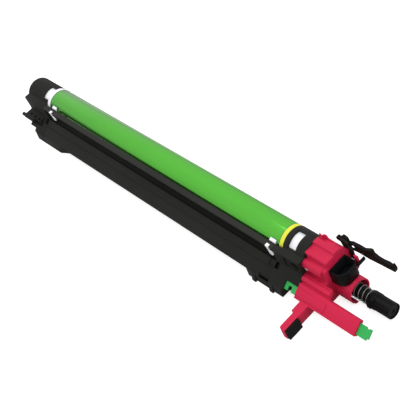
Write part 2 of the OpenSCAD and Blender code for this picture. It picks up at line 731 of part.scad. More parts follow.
// Thin guard beside the cup's far side
module far_guard()
    across(12.9, 14.5) translate([cover_x1, 0]) polygon([
        [-eps, -12], [-eps, -6], [7.5, -6], [8.5, 6.3], [12.6, 6.3], [12.6, 0], [9, -12]
    ]);

// Pull handle, a flat arm from under the guide sleeve, with a rounded tip
handle_x1 = coat_l + 44.6;
handle_h = 12.3;
tip_r = 2.2;

module handle() {
    translate([handle_x1 - handle_w, 0, -foot_drop]) linear_extrude(handle_h) {
        translate([tip_r, -handle_reach]) square([handle_w - tip_r, handle_reach - 25]);
        translate([0, tip_r - handle_reach]) square([handle_w, handle_reach - tip_r - 25]);
        translate([tip_r, tip_r - handle_reach]) circle(tip_r);
        translate([-2.6, -46.5]) square([3, 21.5]);
    }
}

module pipe_collar()
    along(cover_x1 - eps, collar_x1) intersection() {
        translate(auger_pos) circle(collar_r);
        translate([auger_pos[0] - 8.4, -foot_drop]) square([30, 30]);
    }

module handle_pad() color([0.10, 0.10, 0.10])
    translate([handle_x1, -handle_reach + 0.4, -foot_drop + 0.3]) cube([3, 15.6, handle_h - 0.4]);

// D-shaped cup in front of the drum's end, open at the top, with a plate on its far side
module shaft_cup() color([0.13, 0.13, 0.13]) {
    difference() {
        cup_form(0);
        translate([0, 0, cup_t]) cup_form(cup_t);
        translate([cup_x1 - cup_t - 1, -3.6, cup_z1 - 11.4]) cube([cup_t + 2, 1.4, 20]);
    }
    translate([cup_x1 - 3, cup_y1 - 2, -6]) cube([2.5, 9, 7]);
}

cup_t = 1.6;
cup_x1 = cover_x1 + 17;
cup_y0 = -11.4;
cup_y1 = 12.6;
cup_z0 = auger_pos[1] + collar_r + 0.1;
cup_z1 = 4.2;
cup_corner = 7;

// Outline of the cup, set in by t
module cup_form(t)
    translate([0, 0, cup_z0]) linear_extrude(cup_z1 - cup_z0) {
        translate([cover_x1 + t, cup_y0 + t])
            square([cup_x1 - cover_x1 - t - cup_corner, cup_y1 - cup_y0 - 2 * t]);
        translate([cover_x1 + t, cup_y0 + cup_corner])
            square([cup_x1 - cover_x1 - 2 * t, cup_y1 - cup_y0 - 2 * cup_corner]);
        for (y = [cup_y0 + cup_corner, cup_y1 - cup_corner])
            translate([cup_x1 - cup_corner, y]) circle(cup_corner - t);
    }

// Lever on the far side of the cover, and the bracket that carries it
lever_pin = [coat_l + 47, 11.5];
lever_y0 = 18.5;
lever_t = 3;
lever_web = 1.2;
pin_r = 2;

module pin_bar(y0, y1, r) translate([lever_pin[0], y0, lever_pin[1]]) rotate([-90, 0, 0]) cylinder(h = y1 - y0, r = r);

// The lever is a thin web with a wider rim along its upper edge and round its pin
module lever() color([0.20, 0.20, 0.20])
    difference() {
        union() {
            across(lever_y0, lever_y0 + lever_t) translate(lever_pin) {
                polygon([
                    [-1, 0.5], [2.5, -1.2], [4.6, -1.4], [8.9, 0.9], [15.5, 1.5], [21.9, 1.3], [29.5, 6.2],
                    [31.2, 5.7], [31.6, 2.4], [36.3, 0.4], [40.4, 0], [lever_l - 7.2, 1.3],
                    [lever_l - 4.3, 0.6], [lever_l - 1.9, 3.1], [lever_l, -1.5], [lever_l - 1.1, -5.8],
                    [lever_l - 6.5, -6.2], [37, -6.9], [26.1, -8.1], [15.6, -7.6], [8.8, -8.3],
                    [4.6, -7.9], [2.2, -5.2], [-2, -3.4]
                ]);
                polygon([[-8.6, -5.6], [-6.8, -1.5], [-3.2, -0.6], [0, 2], [2.5, -2.5], [-1, -6.2], [-7, -6]]);
                translate([-7.4, -3.7]) circle(2.4);
            }
            pin_bar(lever_y0, lever_y0 + lever_t, 3.6);
        }
        pin_bar(lever_y0 - 1, lever_y0 + lever_t + 1, pin_r + run_fit);
        across(lever_y0 + lever_web, lever_y0 + lever_t + 1) translate(lever_pin) polygon([
            [5, -3.4], [9, -0.9], [15.5, -0.2], [22, -0.4], [28.6, 3.6], [29.8, 1], [36, -1.3], [40.4, -1.7],
            [lever_l - 7.2, -0.4], [lever_l - 4, -2], [lever_l - 3.2, -8], [8, -12], [4.6, -12]
        ]);
        across(lever_y0 - 1, lever_y0 + lever_t + 1) translate(lever_pin) polygon([
            [5.6, -5.6], [7.6, -6.5], [9.6, -5.4], [11.2, -2.6], [10, -1.1], [7.6, -1.4], [5.8, -3.2]
        ]);
    }

module lever_bracket() color([0.18, 0.18, 0.18]) {
    pin_bar(cover_r, lever_y0 + lever_t + 0.6, pin_r);
    across(cover_r, lever_y0 - slide_gap) translate(lever_pin) polygon([
        [-3, 0], [-2, 2.6], [2, 2.6], [5.2, 0], [5.6, -3.4], [9.5, -6.4], [9.2, -11.4], [9.8, -19.5], [1, -19.5], [-1, -8]
    ]);
}

// Felt pads between the light strip and the drum at both ends of the coat
module end_seals() color("white")
    for (x = [7.2, coat_l - 10.2])
        along(x, x + 7) polygon([
            [strip_y + strip_w, strip_z - strip_t], [strip_y + strip_w, strip_z + 1.6], [-11.9, 10.3],
            [-12.95, 8.7], [-13.9, 7], [-14.3, 5.7]
        ]);

// White clips over the outer edge of the light strip, each with a slanted foot below it
module strip_clips() color("white")
    for (x = [8.6, coat_l - 10]) {
        along(x, x + 3.4) translate([strip_y - clip_t, strip_z]) square([3, clip_t]);
        across(strip_y - clip_t, strip_y) translate([x, strip_z + clip_t]) polygon([
            [0, 0], [3.4, 0], [3.7, -4.8], [7.6, -5.8], [7.8, -8.8], [5.4, -10.8], [2.7, -10], [1.6, -5]
        ]);
    }
clip_t = 0.8;

module cover_screw() color([0.8, 0.8, 0.8])
    translate(screw_pos) rotate([90, 0, 0]) cylinder(h = 1, r = screw_r);
screw_r = 1.6;
screw_pos = [cover_x0 + 4.1, -15.9, 0.3];

drum_tube();
front_flange();
front_hub();
rear_flange();
front_bearing();
rear_bearing();
casing();
light_strip();
rear_housing();
front_housing();
charger_shield();
charger_grid();
charger_wire();
charger_ends();
cleaner_bar();
cleaner_carriage();
cleaning_blade();
blade_bracket();
blade_screws();
recovery_film();
auger();
auger_gear();
idler_gear();
waste_pipe();
shutter_sleeve();
shutter_spring();
front_cover();
handle_pad();
shaft_cup();
lever();
lever_bracket();
end_seals();
strip_clips();
cover_screw();
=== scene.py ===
"""The looks of a page printer's drum unit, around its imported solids. Lengths are in metres."""
import logging
import math
from collections.abc import Callable, Iterable, Sequence
from dataclasses import dataclass, field
from enum import Enum
from typing import Any

import bpy
from mathutils import Matrix, Vector


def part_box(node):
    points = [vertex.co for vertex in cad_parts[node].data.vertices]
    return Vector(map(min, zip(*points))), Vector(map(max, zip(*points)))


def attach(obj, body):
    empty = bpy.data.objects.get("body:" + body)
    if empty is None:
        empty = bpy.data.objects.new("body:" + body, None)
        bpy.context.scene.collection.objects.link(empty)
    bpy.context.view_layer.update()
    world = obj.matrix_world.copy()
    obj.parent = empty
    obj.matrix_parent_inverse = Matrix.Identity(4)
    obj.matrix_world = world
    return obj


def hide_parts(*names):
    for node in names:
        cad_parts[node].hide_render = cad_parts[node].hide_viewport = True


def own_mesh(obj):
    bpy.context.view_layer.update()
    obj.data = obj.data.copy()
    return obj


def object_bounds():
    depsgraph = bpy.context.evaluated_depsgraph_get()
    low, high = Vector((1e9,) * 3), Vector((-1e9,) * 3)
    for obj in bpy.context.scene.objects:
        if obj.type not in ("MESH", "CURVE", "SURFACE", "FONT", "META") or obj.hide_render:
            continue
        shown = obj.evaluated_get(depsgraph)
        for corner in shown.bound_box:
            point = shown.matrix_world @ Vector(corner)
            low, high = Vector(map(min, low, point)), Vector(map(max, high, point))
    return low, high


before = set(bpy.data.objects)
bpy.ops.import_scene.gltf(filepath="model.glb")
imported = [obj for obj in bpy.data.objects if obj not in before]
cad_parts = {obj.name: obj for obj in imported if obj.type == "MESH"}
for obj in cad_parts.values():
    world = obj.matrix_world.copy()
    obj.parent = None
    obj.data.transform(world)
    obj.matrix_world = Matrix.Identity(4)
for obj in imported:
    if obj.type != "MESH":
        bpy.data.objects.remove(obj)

LOG = logging.getLogger("drum_unit")
MM = 0.001
SAME = 0.01 * MM  # places nearer to each other than this are one place
FACING = 0.9  # a face looks along an axis where its normal has this much of it

Pair = tuple[float, float]
Triple = tuple[float, float, float]
Colour = Triple


def box_rows(corners: Sequence[Vector]) -> list[list[float]]:
    """Turn two corner vectors into plain lists."""
    return [[float(value) for value in corner] for corner in corners]


CAD_BOX = box_rows(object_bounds())


class Signal:
    """One shader socket that takes part in Python arithmetic by adding Math nodes."""

    def __init__(self, graph: "Graph", socket: bpy.types.NodeSocket | None) -> None:
        """Wrap a socket of a graph's node."""
        self.graph = graph
        self.socket = socket

    def _math(self, operation: str, first: Any, second: Any) -> "Signal":
        """Add one Math node on two values."""
        return self.graph.node("ShaderNodeMath", {"operation": operation}, {0: first, 1: second})

    def __add__(self, other: Any) -> "Signal":
        """Add."""
        return self._math("ADD", self, other)

    def __sub__(self, other: Any) -> "Signal":
        """Subtract."""
        return self._math("SUBTRACT", self, other)

    def __rsub__(self, other: Any) -> "Signal":
        """Subtract this from a number."""
        return self._math("SUBTRACT", other, self)

    def __mul__(self, other: Any) -> "Signal":
        """Multiply."""
        return self._math("MULTIPLY", self, other)

    def __truediv__(self, other: Any) -> "Signal":
        """Divide."""
        return self._math("DIVIDE", self, other)

    __radd__ = __add__
    __rmul__ = __mul__

    def absolute(self) -> "Signal":
        """Drop the sign."""
        return self._math("ABSOLUTE", self, 0.0)

    def fraction(self) -> "Signal":
        """Keep what is left after the whole number."""
        return self._math("FRACT", self, 0.0)

    def step(self, low: float, high: float) -> "Signal":
        """Rise smoothly from 0 at one limit to 1 at the other."""
        settings = {"interpolation_type": "SMOOTHSTEP"}
        return self.graph.node("ShaderNodeMapRange", settings, {0: self, 1: low, 2: high})

    def between(self, low: float, high: float, soft: float) -> "Signal":
        """Be 1 where the value lies between two limits, with a soft edge."""
        return self.step(low, low + soft) * (1 - self.step(high - soft, high))


class Graph:
    """The node tree of one material or world."""

    def __init__(self, name: str, kind: str = "materials") -> None:
        """Start an empty node tree.

        Args:
            name: The name of the material or world that has the nodes.
            kind: The collection of bpy.data that it is added to.
        """
        self.owner = getattr(bpy.data, kind).new(name)
        self.owner.use_nodes = True
        self.tree = self.owner.node_tree
        self.tree.nodes.clear()

    def node(
        self,
        kind: str,
        settings: dict[str, Any] | None = None,
        inputs: dict[Any, Any] | None = None,
        output: Any = 0,
    ) -> Signal:
        """Add a node.

        Args:
            kind: The node's type.
            settings: Its properties; "stops" holds a ramp's positions and greys.
            inputs: Its sockets by number or name, with values or signals.
            output: The number or name of the output that is returned.

        Returns:
            The chosen output as a signal.
        """
        made = self.tree.nodes.new(kind)
        for name, value in (settings or {}).items():
            if name == "stops":
                self._set_stops(made.color_ramp, value)
            else:
                setattr(made, name, value)
        for key, value in (inputs or {}).items():
            socket = made.inputs[key]
            if isinstance(value, Signal):
                self.tree.links.new(value.socket, socket)
            elif isinstance(value, tuple) and socket.type == "RGBA":
                socket.default_value = (*value[:3], 1.0)
            else:
                socket.default_value = value
        return Signal(self, made.outputs[output] if made.outputs else None)

    @staticmethod
    def _set_stops(ramp: bpy.types.ColorRamp, stops: Iterable[Pair]) -> None:
        """Give a ramp grey stops at the given places."""
        stops = list(stops)
        while len(ramp.elements) < len(stops):
            ramp.elements.new(0.5)
        for element, (place, grey) in zip(ramp.elements, stops):
            element.position = place
            element.color = (grey, grey, grey, 1.0)

    def place(self, stretch: Triple = (1, 1, 1)) -> Signal:
        """Give object coordinates, stretched along the axes."""
        coordinates = self.node("ShaderNodeTexCoord", output="Object")
        return self.node("ShaderNodeMapping", {}, {"Vector": coordinates, "Scale": stretch})

    def axis(self, name: str, space: str = "Object") -> Signal:
        """Give one coordinate: of the object in metres, or of another space."""
        coordinates = self.node("ShaderNodeTexCoord", output=space)
        return self.node("ShaderNodeSeparateXYZ", {}, {0: coordinates}, name)

    def noise(self, scale: float, detail: float, stretch: Triple = (1, 1, 1)) -> Signal:
        """Give a noise of the given fineness."""
        inputs = {"Vector": self.place(stretch), "Scale": scale, "Detail": detail}
        return self.node("ShaderNodeTexNoise", {}, inputs, "Fac")

    def mix(self, factor: Signal, first: Any, second: Any) -> Signal:
        """Blend two colours."""
        inputs = {"Factor": factor, 6: first, 7: second}
        return self.node("ShaderNodeMix", {"data_type": "RGBA"}, inputs, 2)

    def rounded(self, radius: float) -> Signal:
        """Give the normal as if all edges were rounded."""
        return self.node("ShaderNodeBevel", {"samples": 6}, {"Radius": radius})

    def edges(self, radius: float) -> Signal:
        """Mark convex and concave edges: 0 on faces, rising towards an edge."""
        flat = self.node("ShaderNodeNewGeometry", output="Normal")
        inputs = {0: self.rounded(radius), 1: flat}
        return 1 - self.node("ShaderNodeVectorMath", {"operation": "DOT_PRODUCT"}, inputs, "Value")

    def bump(self, height: Signal, depth: float, strength: float, radius: float = 0.0) -> Signal:
        """Turn a height from 0 to 1 into a normal, on soft edges where a radius is given."""
        inputs: dict[Any, Any] = {"Height": height, "Distance": depth, "Strength": strength}
        if radius > 0:
            inputs["Normal"] = self.rounded(radius)
        return self.node("ShaderNodeBump", {}, inputs)

    def surface(self, inputs: dict[str, Any]) -> bpy.types.Material:
        """Finish the material with one principled shader.

        Args:
            inputs: The shader's sockets by name.

        Returns:
            The finished material.
        """
        shader = self.node("ShaderNodeBsdfPrincipled", {}, inputs)
        self.node("ShaderNodeOutputMaterial", {}, {0: shader})
        return self.owner


@dataclass(frozen=True)
class Moulding:
    """Injection-moulded plastic: fine grain, soft edges, flow marks and slightly rubbed edges."""

    name: str
    colour: Colour
    roughness: float
    grain: float = 2600.0
    depth: float = 0.02 * MM
    edge: float = 0.25 * MM
    edge_lift: float = 0.35
    drift: float = 0.12
    gloss: float = 0.4
    flow: float = 28.0
    flow_stretch: Triple = (0.35, 1, 1)
    rub: float = 160.0
    rub_rough: float = 0.16
    grain_rough: float = 0.1
    worn_grey: float = 0.35
    worn_keep: float = 0.3
    worn_share: float = 0.25
    strength: float = 0.6

    def relief(self, g: Graph, grain: Signal) -> Signal:
        """Give the height of the surface; a plain moulding has only its grain."""
        return grain

    def tint(self, g: Graph, base: Signal) -> Signal:
        """Colour single places; a plain moulding has none."""
        return base

    def worn(self, level: float) -> float:
        """Give one channel of the colour of a rubbed edge."""
        lift = (self.worn_grey - level * self.worn_keep) * self.edge_lift * self.worn_share
        return min(1.0, level + lift)

    def build(self) -> bpy.types.Material:
        """Make the material."""
        g = Graph(self.name)
        grain = g.noise(self.grain, 3.0)
        flow = g.noise(self.flow, 4.0, self.flow_stretch)
        rub = g.noise(self.rub, 5.0)
        light = tuple(min(1.0, level * (1 + self.drift)) for level in self.colour)
        dark = tuple(level * (1 - self.drift) for level in self.colour)
        body = g.mix(flow.step(0.3, 0.7), dark, light)
        edge = g.edges(self.edge).step(0.02, 0.3) * rub.step(0.35, 0.75)
        base = g.mix(edge * self.edge_lift, body, tuple(map(self.worn, self.colour)))
        rough = (rub - 0.5) * self.rub_rough + (grain - 0.5) * self.grain_rough
        return g.surface({
            "Base Color": self.tint(g, base), "Roughness": rough + self.roughness,
            "Specular IOR Level": self.gloss,
            "Normal": g.bump(self.relief(g, grain), self.depth, self.strength, self.edge),
        })


@dataclass(frozen=True)
class RibbedMoulding(Moulding):
    """The casing's plastic: faint sink marks over the ribs behind the panel, painted shade above
    it.
    """

    pitch: float = 8.2 * MM
    mark: Pair = (0.05, 0.2)
    band: Pair = (22.5 * MM, 29.0 * MM)
    band_fade: float = 1.2 * MM
    panel: float = 4.8 * MM
    panel_fade: Pair = (0.1 * MM, 0.3 * MM)
    slope: Pair = (0.8, 0.6)
    trench: float = 21.7 * MM
    trench_fade: float = 0.5 * MM
    # painted shade: the dark colour laid into the trench, as if in the strip's shadow
    trench_shade: Colour = (0.004, 0.004, 0.0035)
    grain_share: float = 0.12

    def down(self, g: Graph) -> Signal:
        """Give the distance from the drum's axis down the panel."""
        return g.axis("Y") * -self.slope[0] - g.axis("Z") * self.slope[1]

    def tint(self, g: Graph, base: Signal) -> Signal:
        """Paint shade into the trench above the panel, darker as if the strip shadowed it."""
        # painted shade: 0 in the trench, rising to 1 on the panel below it
        unshaded = self.down(g).step(self.trench, self.trench + self.trench_fade)
        return g.mix(unshaded, self.trench_shade, base)

    def relief(self, g: Graph, grain: Signal) -> Signal:
        """Give the height of the surface, with the sink marks' grooves."""
        out = g.axis("Z") * self.slope[0] - g.axis("Y") * self.slope[1]
        phase = (g.axis("X") / self.pitch).fraction()
        mark = 1 - (phase - 0.5).absolute().step(*self.mark)
        face = 1 - (out - self.panel).absolute().step(*self.panel_fade)
        groove = mark * self.down(g).between(*self.band, self.band_fade) * face
        return grain * self.grain_share - groove + 1


@dataclass(frozen=True)
class DrumCoat:
    """Green photoconductor coat: a film over polished metal, with faint haze and thin ends."""

    name: str
    colour: Colour
    end_colour: Colour
    length: float
    mirror: float = 0.88
    roughness: float = 0.13
    gloss: float = 0.25
    haze: float = 34.0
    haze_stretch: Triple = (0.25, 1, 1)
    haze_lift: float = 1.06
    haze_rough: float = 0.06
    end: float = 0.6 * MM
    end_fade: float = 0.5 * MM

    def build(self) -> bpy.types.Material:
        """Make the material."""
        g = Graph(self.name)
        haze = g.noise(self.haze, 3.0, self.haze_stretch)
        ends = 1 - g.axis("X").between(self.end, self.length - self.end, self.end_fade)
        hazy = tuple(level * self.haze_lift for level in self.colour)
        base = g.mix(haze.step(0.35, 0.65), self.colour, hazy)
        return g.surface({
            "Base Color": g.mix(ends, base, self.end_colour),
            "Roughness": (haze - 0.5) * self.haze_rough + self.roughness,
            "Metallic": self.mirror, "Specular IOR Level": self.gloss,
        })


@dataclass(frozen=True)
class Metal:
    """Drawn or rolled metal with streaks along one axis."""

    name: str
    colour: Colour
    roughness: float
    stretch: Triple = (0.03, 1, 1)
    edge: float = 0.08 * MM
    streak: float = 2200.0
    streak_rough: float = 0.18
    blotch: float = 90.0
    blotch_rough: float = 0.1
    dull: float = 0.86
    depth: float = 0.01 * MM
    strength: float = 0.4

    def build(self) -> bpy.types.Material:
        """Make the material."""
        g = Graph(self.name)
        streak = g.noise(self.streak, 3.0, self.stretch)
        blotch = g.noise(self.blotch, 3.0)
        dull = tuple(level * self.dull for level in self.colour)
        rough = (streak - 0.5) * self.streak_rough + (blotch - 0.5) * self.blotch_rough
        return g.surface({
            "Base Color": g.mix(blotch.step(0.3, 0.7), dull, self.colour), "Metallic": 1.0,
            "Roughness": rough + self.roughness,
            "Normal": g.bump(streak, self.depth, self.strength, self.edge),
        })


@dataclass(frozen=True)
class Soft:
    """Felt, foam or rubber: matt, with cells or fibres of its own size."""

    name: str
    colour: Colour
    shade: Colour
    scale: float
    depth: float
    roughness: float = 0.95
    gloss: float = 0.25
    cloud: float = 0.3
    cell_share: float = 0.7
    cloud_share: float = 0.3
    strength: float = 0.9

    def build(self) -> bpy.types.Material:
        """Make the material."""
        g = Graph(self.name)
        inputs = {"Vector": g.place(), "Scale": self.scale}
        cells = g.node("ShaderNodeTexVoronoi", {"feature": "F1"}, inputs, "Distance")
        cloud = g.noise(self.scale * self.cloud, 4.0)
        height = cells.step(0.0, 0.8) * self.cell_share + cloud * self.cloud_share
        return g.surface({
            "Base Color": g.mix(height.step(0.25, 0.75), self.shade, self.colour),
            "Roughness": self.roughness, "Specular IOR Level": self.gloss,
            "Normal": g.bump(height, self.depth, self.strength),
        })


@dataclass(frozen=True)
class Film:
    """Clear polyester film: a pale sheet that lets some of what is behind it show."""

    name: str
    colour: Colour
    roughness: float = 0.18
    cover: float = 0.45
    smear: float = 120.0
    smear_share: float = 0.1

    def build(self) -> bpy.types.Material:
        """Make the material."""
        g = Graph(self.name)
        smear = g.noise(self.smear, 3.0)
        return g.surface({
            "Base Color": self.colour,
            "Roughness": (smear - 0.5) * self.smear_share + self.roughness,
            "Alpha": (smear - 0.5) * self.smear_share + self.cover,
        })


class Finish(Enum):
    """The finishes of this unit's pieces."""

    COAT = DrumCoat("drum_coat", (0.098, 0.440, 0.051), (0.10, 0.26, 0.08), 354 * MM)
    YELLOW = Moulding(
        "yellow_flange", (0.64, 0.65, 0.050), 0.4, depth=0.008 * MM, edge_lift=0.1, gloss=0.2,
    )
    WHITE = Moulding(
        "white_acetal", (0.84, 0.84, 0.88), 0.34, depth=0.006 * MM, edge_lift=0.05, drift=0.03,
    )
    IVORY = Moulding("ivory_moulding", (0.62, 0.60, 0.50), 0.45, depth=0.008 * MM, edge_lift=0.1)
    CASING = Moulding("grained_black", (0.0146, 0.0146, 0.0129), 0.6, edge_lift=0.12, gloss=0.11)
    PANEL = RibbedMoulding(
        "grained_panel", (0.0152, 0.0152, 0.0135), 0.6, depth=0.09 * MM, edge_lift=0.12, gloss=0.11,
    )
    STRIP = Moulding(
        "fine_black", (0.0185, 0.0185, 0.0162), 0.55, grain=3600.0, depth=0.012 * MM,
        edge_lift=0.12, gloss=0.14,
    )
    # painted shade: a dull bluish black for the cup's inside, standing in for the shade in its
    # hollow
    PIT = Moulding(
        "pit_painted_shade", (0.0060, 0.0072, 0.0078), 0.8, depth=0.012 * MM, edge_lift=0.0, gloss=0.05,
    )
    LEVER = Moulding(
        "lever_black", (0.0070, 0.0046, 0.0042), 0.55, depth=0.012 * MM, edge_lift=0.12, gloss=0.09,
    )
    GLOSS = Moulding(
        "satin_black", (0.0034, 0.0035, 0.0034), 0.42, depth=0.006 * MM, edge_lift=0.12, gloss=0.09,
    )
    CRIMSON = Moulding(
        "crimson_cover", (0.53, 0.0145, 0.057), 0.5, depth=0.01 * MM, edge_lift=0.1, drift=0.05,
        gloss=0.14,
    )
    GREEN = Moulding(
        "green_bar", (0.034, 0.385, 0.086), 0.45, depth=0.008 * MM, edge_lift=0.2, drift=0.06,
        gloss=0.2,
    )
    STEEL = Metal("thin_steel", (0.56, 0.56, 0.55), 0.32)
    SPRING = Metal("drawn_wire", (0.34, 0.335, 0.32), 0.3, (1, 1, 1))
    SCREW = Metal("plated_screw", (0.78, 0.74, 0.74), 0.3, (1, 1, 1))
    RUBBER = Soft(
        "urethane_rubber", (0.42, 0.25, 0.08), (0.34, 0.20, 0.06), 900.0, 0.01 * MM, 0.55,
    )
    FELT = Soft("white_felt", (0.86, 0.86, 0.90), (0.62, 0.62, 0.70), 2600.0, 0.12 * MM)
    FOAM = Soft("black_foam", (0.0045, 0.0036, 0.0032), (0.001, 0.001, 0.001), 1500.0, 0.15 * MM)
    FILM = Film("polyester_film", (0.72, 0.74, 0.75))

    def material(self) -> bpy.types.Material:
        """Give the finish's material, made at its first use."""
        if self not in MADE:
            MADE[self] = self.value.build()
        return MADE[self]


MADE: dict[Finish, bpy.types.Material] = {}


def select_only(piece: bpy.types.Object) -> None:
    """Leave one object selected and active."""
    bpy.ops.object.select_all(action="DESELECT")
    piece.select_set(True)
    bpy.context.view_layer.objects.active = piece


def apply_modifier(piece: bpy.types.Object, kind: str, **settings: Any) -> None:
    """Add a modifier with its settings and apply it."""
    modifier = piece.modifiers.new(kind.lower(), kind)
    for name, value in settings.items():
        setattr(modifier, name, value)
    select_only(piece)
    bpy.ops.object.modifier_apply(modifier=modifier.name)


def round_edges(
    piece: bpy.types.Object, width: float, rings: int = 2, angle: float = 30.0, **settings: Any
) -> None:
    """Round the edges of a piece.

    Args:
        piece: The piece.
        width: The width of the rounding.
        rings: The number of faces across it.
        angle: The angle in degrees that an edge has to pass.
        settings: Further settings of the bevel modifier.
    """
    settings.update(width=width, segments=rings, angle_limit=math.radians(angle))
    apply_modifier(piece, "BEVEL", limit_method="ANGLE", **settings)


def smooth(piece: bpy.types.Object, angle: float) -> None:
    """Leave edit mode and shade a piece's faces smoothly up to an angle in degrees."""
    bpy.ops.object.mode_set(mode="OBJECT")
    select_only(piece)
    bpy.ops.object.shade_smooth_by_angle(angle=math.radians(angle))


def primitive(kind: str, name: str, **settings: Any) -> bpy.types.Object:
    """Add one of Blender's mesh primitives with nothing else selected.

    Args:
        kind: The primitive's name, such as "cube".
        name: The new piece's name.
        settings: The operator's own settings.

    Returns:
        The new piece, active and selected.
    """
    bpy.ops.object.select_all(action="DESELECT")
    getattr(bpy.ops.mesh, f"primitive_{kind}_add")(**settings)
    piece = bpy.context.object
    piece.name = name
    return piece


def settle(piece: bpy.types.Object) -> None:
    """Move a piece's place, turn and scale into its mesh."""
    select_only(piece)
    bpy.ops.object.transform_apply(location=True, rotation=True, scale=True)


def edit_edges(piece: bpy.types.Object, test: Callable[[Vector, Vector], bool]) -> None:
    """Open edit mode with the edges selected whose two ends pass a test."""
    select_only(piece)
    bpy.ops.object.mode_set(mode="EDIT")
    bpy.ops.mesh.select_mode(type="EDGE")
    bpy.ops.mesh.select_all(action="DESELECT")
    bpy.ops.object.mode_set(mode="OBJECT")
    points = piece.data.vertices
    for edge in piece.data.edges:
        edge.select = test(*(points[number].co for number in edge.vertices))
    bpy.ops.object.mode_set(mode="EDIT")


def edit_faces(
    piece: bpy.types.Object, test: Callable[[Vector, Vector], bool] | None = None
) -> None:
    """Open edit mode with faces selected.

    Args:
        piece: The piece to edit.
        test: Says from a face's centre and normal if it is taken; without it all faces are.
    """
    select_only(piece)
    bpy.ops.object.mode_set(mode="EDIT")
    bpy.ops.mesh.select_mode(type="FACE")
    bpy.ops.mesh.select_all(action="SELECT" if test is None else "DESELECT")
    if test is not None:
        bpy.ops.object.mode_set(mode="OBJECT")
        for face in piece.data.polygons:
            face.select = test(face.center, face.normal)
        bpy.ops.object.mode_set(mode="EDIT")


def paint(piece: bpy.types.Object, finish: Finish) -> None:
    """Give a whole piece one finish."""
    if not piece.material_slots:
        piece.data.materials.append(finish.material())
    for slot in piece.material_slots:
        slot.material = finish.material()


@dataclass
class SubAssembly:
    """A group of pieces that ride on one body, with the finish of each solid that stays."""

    body: str
    kept: dict[str, Finish]

    def build(self) -> None:
        """Dress the kept solids, then make the group's own pieces."""
        for node, finish in self.kept.items():
            paint(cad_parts[node], finish)
            LOG.info("dressed %s", node)
        self.make_pieces()

    def make_pieces(self) -> None:
        """Make what the solids lack; a plain group adds nothing."""

    def adopt(self, piece: bpy.types.Object, finish: Finish, *nodes: str) -> bpy.types.Object:
        """Finish a new piece and let it ride on the group's body.

        Args:
            piece: The new piece.
            finish: Its finish.
            nodes: The solids that it stands for.

        Returns:
            The piece.
        """
        paint(piece, finish)
        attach(piece, self.body)
        if nodes:
            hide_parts(*nodes)
        LOG.info("made %s", piece.name)
        return piece

    def soften(self, node: str, finish: Finish, radius: float) -> None:
        """Stand a copy with rounded edges in for a solid.

        Args:
            node: The solid's name.
            finish: The copy's finish.
            radius: The width of the rounding.
        """
        weld, flat_angle, edge_angle = 0.002 * MM, 0.5, 32.0
        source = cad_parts[node]
        piece = bpy.data.objects.new(f"{node}_moulded", source.data.copy())
        bpy.context.scene.collection.objects.link(piece)
        select_only(piece)
        bpy.ops.object.mode_set(mode="EDIT")
        bpy.ops.mesh.select_all(action="SELECT")
        bpy.ops.mesh.remove_doubles(threshold=weld)
        bpy.ops.mesh.dissolve_limited(angle_limit=math.radians(flat_angle))
        bpy.ops.object.mode_set(mode="OBJECT")
        round_edges(piece, radius, angle=edge_angle, miter_outer="MITER_ARC")
        smooth(piece, edge_angle)
        self.adopt(piece, finish, node)


@dataclass
class Drum(SubAssembly):
    """The coated tube with its flanges and hub."""

    body: str = "drum"
    kept: dict[str, Finish] = field(default_factory=lambda: {
        "front_flange": Finish.YELLOW, "front_hub": Finish.WHITE, "rear_flange": Finish.WHITE,
    })
    sides: int = 128
    wall: float = 1.0 * MM
    rim: float = 0.12 * MM

    def make_pieces(self) -> None:
        """Make the tube round enough to mirror what is beside it."""
        low, high = (Vector(corner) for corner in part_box("drum_tube"))
        tube = primitive(
            "cylinder", "drum_tube_coated", vertices=self.sides, radius=(high.z - low.z) / 2,
            depth=high.x - low.x, location=(low + high) / 2, rotation=(0, math.radians(90), 0),
            end_fill_type="NOTHING",
        )
        settle(tube)
        edit_faces(tube)
        bpy.ops.mesh.normals_make_consistent(inside=False)
        bpy.ops.object.mode_set(mode="OBJECT")
        apply_modifier(tube, "SOLIDIFY", thickness=self.wall, offset=-1.0)
        round_edges(tube, self.rim, angle=60.0)
        smooth(tube, 40.0)
        self.adopt(tube, Finish.COAT, "drum_tube")


@dataclass
class Gears(SubAssembly):
    """The idler in the rear housing."""

    body: str = "idler"
    kept: dict[str, Finish] = field(default_factory=lambda: {"idler_gear": Finish.WHITE})


@dataclass
class Auger(SubAssembly):
    """The waste auger and its gear."""

    body: str = "auger"
    kept: dict[str, Finish] = field(default_factory=lambda: {
        "auger": Finish.GLOSS, "auger_gear": Finish.WHITE,
    })


@dataclass
class Casing(SubAssembly):
    """The long casing with its housings, strip, seals and clips."""

    body: str = "frame"
    kept: dict[str, Finish] = field(default_factory=lambda: {
        "end_seals": Finish.FELT, "strip_clips": Finish.WHITE, "front_bearing": Finish.IVORY,
        "rear_bearing": Finish.IVORY,
    })
    edge: float = 0.3 * MM

    def make_pieces(self) -> None:
        """Round the edges of the long mouldings."""
        self.soften("casing", Finish.PANEL, self.edge)
        self.soften("light_strip", Finish.STRIP, self.edge)
        self.soften("rear_housing", Finish.CASING, self.edge)
        self.soften("front_housing", Finish.CASING, self.edge)


@dataclass
class Charger(SubAssembly):
    """The corona charger and the drum's cleaning blade, behind the panel."""

    body: str = "frame"
    kept: dict[str, Finish] = field(default_factory=lambda: {
        "charger_shield": Finish.STEEL, "charger_grid": Finish.STEEL, "charger_wire": Finish.STEEL,
        "charger_ends": Finish.GLOSS, "cleaning_blade": Finish.RUBBER,
        "blade_bracket": Finish.STEEL, "blade_screws": Finish.SCREW, "recovery_film": Finish.FILM,
    })


@dataclass
class Cleaner(SubAssembly):
    """The green bar with its wire cleaner."""

    body: str = "cleaner"
    kept: dict[str, Finish] = field(default_factory=lambda: {
        "cleaner_bar": Finish.GREEN, "cleaner_carriage": Finish.WHITE,
    })


